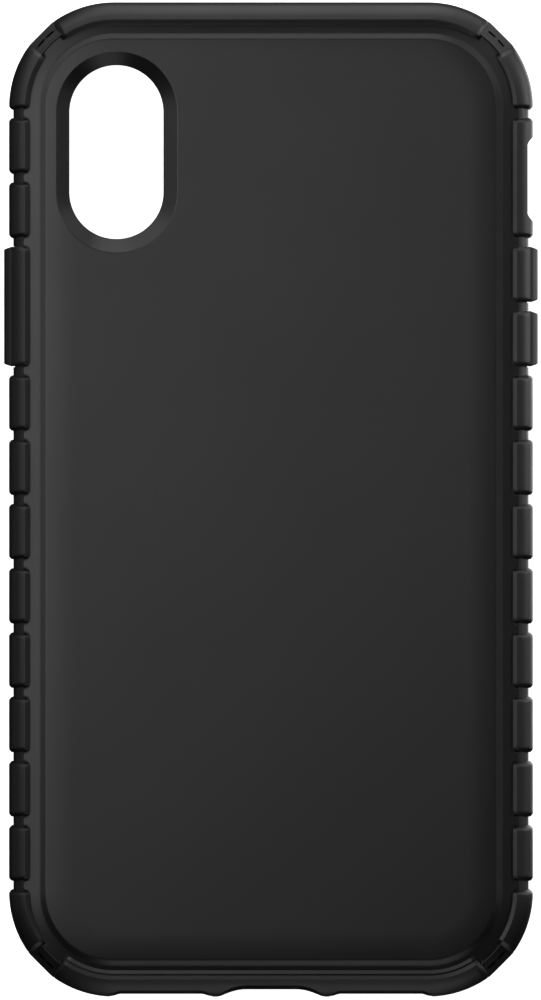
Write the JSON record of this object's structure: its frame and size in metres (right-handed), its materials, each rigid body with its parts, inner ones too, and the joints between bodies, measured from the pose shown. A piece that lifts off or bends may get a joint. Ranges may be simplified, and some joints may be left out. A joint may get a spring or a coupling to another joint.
{
  "type": "rugged smartphone case",
  "caption": "Black rugged smartphone case: rigid raised back with a bevelled camera window, soft segmented grip bumper and press-through side buttons.",
  "frame": {"origin": "centre of the front rim, on the plane that the case lies on, screen side down", "axes": "+X across the case as seen from the back, towards the volume buttons; +Y along it, towards the camera end; +Z out of the back panel"},
  "size_m": [0.0854, 0.159, 0.012],
  "materials": {
    "shell_polycarbonate": "fine satin texture, black",
    "bumper_rubber": "matte black thermoplastic rubber",
    "liner_rubber": "matte dark lining",
    "button_rubber": "matte black thermoplastic rubber"
  },
  "bodies": {
    "case": {"rear_shell": "shell_polycarbonate", "inner_liner": "liner_rubber", "bumper_band": "bumper_rubber", "front_lip": "bumper_rubber", "top_bumper": "bumper_rubber", "bottom_bumper": "bumper_rubber", "mute_switch_surround": "bumper_rubber", "left_grip_block_01": "bumper_rubber", "left_grip_block_02": "bumper_rubber", "left_grip_block_03": "bumper_rubber", "left_grip_block_04": "bumper_rubber", "left_grip_block_05": "bumper_rubber", "left_grip_block_06": "bumper_rubber", "left_grip_block_07": "bumper_rubber", "left_grip_block_08": "bumper_rubber", "left_grip_block_09": "bumper_rubber", "left_grip_block_10": "bumper_rubber", "right_grip_block_01": "bumper_rubber", "right_grip_block_02": "bumper_rubber", "right_grip_block_03": "bumper_rubber", "right_grip_block_04": "bumper_rubber", "right_grip_block_05": "bumper_rubber", "right_grip_block_06": "bumper_rubber", "right_grip_block_07": "bumper_rubber", "right_grip_block_08": "bumper_rubber", "top_right_corner_block": "bumper_rubber", "top_left_corner_block": "bumper_rubber", "bottom_right_corner_block": "bumper_rubber", "bottom_left_corner_block": "bumper_rubber", "power_button_ridge": "bumper_rubber", "volume_up_button_ridge": "bumper_rubber", "volume_down_button_ridge": "bumper_rubber"},
    "power_button_cap": {"power_button": "button_rubber"},
    "volume_up_button_cap": {"volume_up_button": "button_rubber"},
    "volume_down_button_cap": {"volume_down_button": "button_rubber"}
  },
  "joints": [
    {"name": "power_press", "type": "slide", "parent": "case", "child": "power_button_cap", "axis": [1, 0, 0], "range_m": [0, 0.0005], "stiffness_N_per_m": 5000},
    {"name": "volume_up_press", "type": "slide", "parent": "case", "child": "volume_up_button_cap", "axis": [-1, 0, 0], "range_m": [0, 0.0005], "stiffness_N_per_m": 4000},
    {"name": "volume_down_press", "type": "slide", "parent": "case", "child": "volume_down_button_cap", "axis": [-1, 0, 0], "range_m": [0, 0.0005], "stiffness_N_per_m": 4000}
  ]
}
